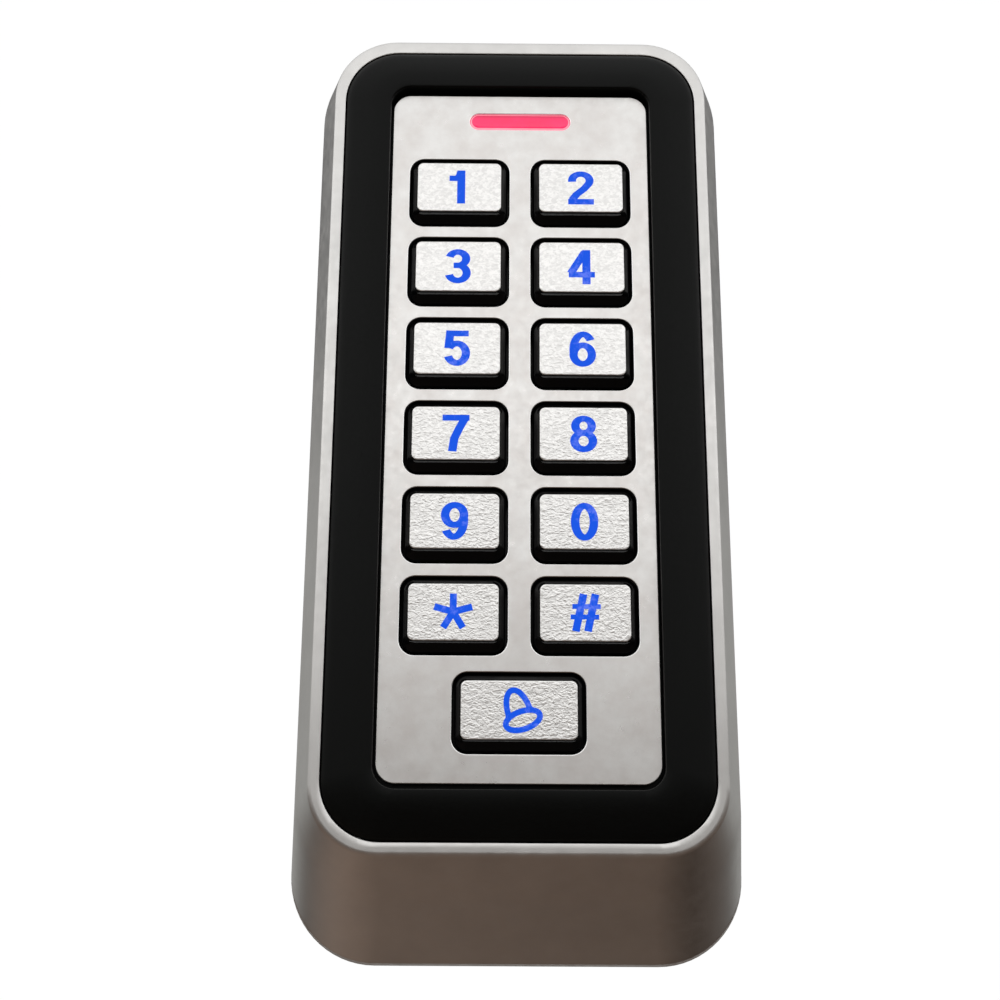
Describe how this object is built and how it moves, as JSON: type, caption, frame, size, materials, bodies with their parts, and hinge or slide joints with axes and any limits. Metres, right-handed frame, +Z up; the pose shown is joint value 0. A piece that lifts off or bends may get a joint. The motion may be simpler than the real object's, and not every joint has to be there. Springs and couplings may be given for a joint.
{
  "type": "keypad access reader",
  "caption": "Wall-mounted access reader: slim die-cast casing, black frame, metal face with two columns of backlit keys, a bell key and a status light.",
  "frame": {"origin": "middle of the wall plate's rear face, at the centre of the casing's outline", "axes": "+Z up the wall, -Y out of the keypad face towards the user, +Y into the wall, +X to the user's right"},
  "size_m": [0.0642, 0.025, 0.14],
  "materials": {
    "cast_case": "die-cast zinc with a fine satin nickel finish",
    "black_frame": "moulded black plastic, fine texture, low sheen",
    "face_metal": "satin silver metal plate, softly mottled",
    "key_silver": "silver coat with an orange-peel texture",
    "key_black": "glossy black moulded plastic",
    "status_lens": "translucent moulded lens, lit red",
    "silicone": "translucent milky silicone",
    "adhesive": "double-sided adhesive film",
    "contact_gold": "gold-plated contact",
    "board": "glass-epoxy board with green solder mask",
    "blue_led": "blue surface-mount light",
    "white_led": "surface-mount light, cream body",
    "coil_copper": "enamelled copper winding",
    "chip_black": "moulded epoxy package",
    "relay_blue": "moulded blue plastic housing",
    "capacitor_sleeve": "shrunk plastic sleeve",
    "connector_nylon": "natural nylon",
    "photocell": "clear-coated light sensor",
    "plate_steel": "zinc-plated pressed steel",
    "grommet_rubber": "soft black rubber",
    "gasket_rubber": "black foam rubber",
    "screw_steel": "zinc-plated steel screw",
    "security_steel": "plain stainless steel screw"
  },
  "bodies": {
    "housing": {"front_case": "cast_case", "keypad_frame": "black_frame", "module_screws": "screw_steel", "face_plate": "face_metal", "plate_adhesive": "adhesive", "led_lens": "status_lens", "rubber_mat": "silicone", "rubber_domes": "silicone", "contact_pads": "contact_gold", "main_board": "board", "board_screws": "screw_steel", "backlight_leds": "blue_led", "status_leds": "white_led", "antenna_coil": "coil_copper", "controller_chip": "chip_black", "reader_chip": "chip_black", "buzzer": "chip_black", "door_relay": "relay_blue", "capacitor": "capacitor_sleeve", "wire_connector": "connector_nylon", "tamper_photocell": "photocell", "back_plate": "plate_steel", "cable_grommet": "grommet_rubber", "wall_gasket": "gasket_rubber", "security_screw": "security_steel"},
    "key_1": {"key_body_1": "key_black", "key_cap_1": "key_silver"},
    "key_2": {"key_body_2": "key_black", "key_cap_2": "key_silver"},
    "key_3": {"key_body_3": "key_black", "key_cap_3": "key_silver"},
    "key_4": {"key_body_4": "key_black", "key_cap_4": "key_silver"},
    "key_5": {"key_body_5": "key_black", "key_cap_5": "key_silver"},
    "key_6": {"key_body_6": "key_black", "key_cap_6": "key_silver"},
    "key_7": {"key_body_7": "key_black", "key_cap_7": "key_silver"},
    "key_8": {"key_body_8": "key_black", "key_cap_8": "key_silver"},
    "key_9": {"key_body_9": "key_black", "key_cap_9": "key_silver"},
    "key_0": {"key_body_0": "key_black", "key_cap_0": "key_silver"},
    "key_star": {"key_body_star": "key_black", "key_cap_star": "key_silver"},
    "key_hash": {"key_body_hash": "key_black", "key_cap_hash": "key_silver"},
    "key_bell": {"key_body_bell": "key_black", "key_cap_bell": "key_silver"}
  },
  "joints": [
    {"name": "press_1", "type": "slide", "parent": "housing", "child": "key_1", "axis": [0, 1, 0], "range_m": [0, 0.0012], "stiffness_N_per_m": 400, "springref_m": -0.0008, "deforming": ["rubber_domes"]},
    {"name": "press_2", "type": "slide", "parent": "housing", "child": "key_2", "axis": [0, 1, 0], "range_m": [0, 0.0012], "stiffness_N_per_m": 400, "springref_m": -0.0008, "deforming": ["rubber_domes"]},
    {"name": "press_3", "type": "slide", "parent": "housing", "child": "key_3", "axis": [0, 1, 0], "range_m": [0, 0.0012], "stiffness_N_per_m": 400, "springref_m": -0.0008, "deforming": ["rubber_domes"]},
    {"name": "press_4", "type": "slide", "parent": "housing", "child": "key_4", "axis": [0, 1, 0], "range_m": [0, 0.0012], "stiffness_N_per_m": 400, "springref_m": -0.0008, "deforming": ["rubber_domes"]},
    {"name": "press_5", "type": "slide", "parent": "housing", "child": "key_5", "axis": [0, 1, 0], "range_m": [0, 0.0012], "stiffness_N_per_m": 400, "springref_m": -0.0008, "deforming": ["rubber_domes"]},
    {"name": "press_6", "type": "slide", "parent": "housing", "child": "key_6", "axis": [0, 1, 0], "range_m": [0, 0.0012], "stiffness_N_per_m": 400, "springref_m": -0.0008, "deforming": ["rubber_domes"]},
    {"name": "press_7", "type": "slide", "parent": "housing", "child": "key_7", "axis": [0, 1, 0], "range_m": [0, 0.0012], "stiffness_N_per_m": 400, "springref_m": -0.0008, "deforming": ["rubber_domes"]},
    {"name": "press_8", "type": "slide", "parent": "housing", "child": "key_8", "axis": [0, 1, 0], "range_m": [0, 0.0012], "stiffness_N_per_m": 400, "springref_m": -0.0008, "deforming": ["rubber_domes"]},
    {"name": "press_9", "type": "slide", "parent": "housing", "child": "key_9", "axis": [0, 1, 0], "range_m": [0, 0.0012], "stiffness_N_per_m": 400, "springref_m": -0.0008, "deforming": ["rubber_domes"]},
    {"name": "press_0", "type": "slide", "parent": "housing", "child": "key_0", "axis": [0, 1, 0], "range_m": [0, 0.0012], "stiffness_N_per_m": 400, "springref_m": -0.0008, "deforming": ["rubber_domes"]},
    {"name": "press_star", "type": "slide", "parent": "housing", "child": "key_star", "axis": [0, 1, 0], "range_m": [0, 0.0012], "stiffness_N_per_m": 400, "springref_m": -0.0008, "deforming": ["rubber_domes"]},
    {"name": "press_hash", "type": "slide", "parent": "housing", "child": "key_hash", "axis": [0, 1, 0], "range_m": [0, 0.0012], "stiffness_N_per_m": 400, "springref_m": -0.0008, "deforming": ["rubber_domes"]},
    {"name": "press_bell", "type": "slide", "parent": "housing", "child": "key_bell", "axis": [0, 1, 0], "range_m": [0, 0.0012], "stiffness_N_per_m": 400, "springref_m": -0.0008, "deforming": ["rubber_domes"]}
  ]
}
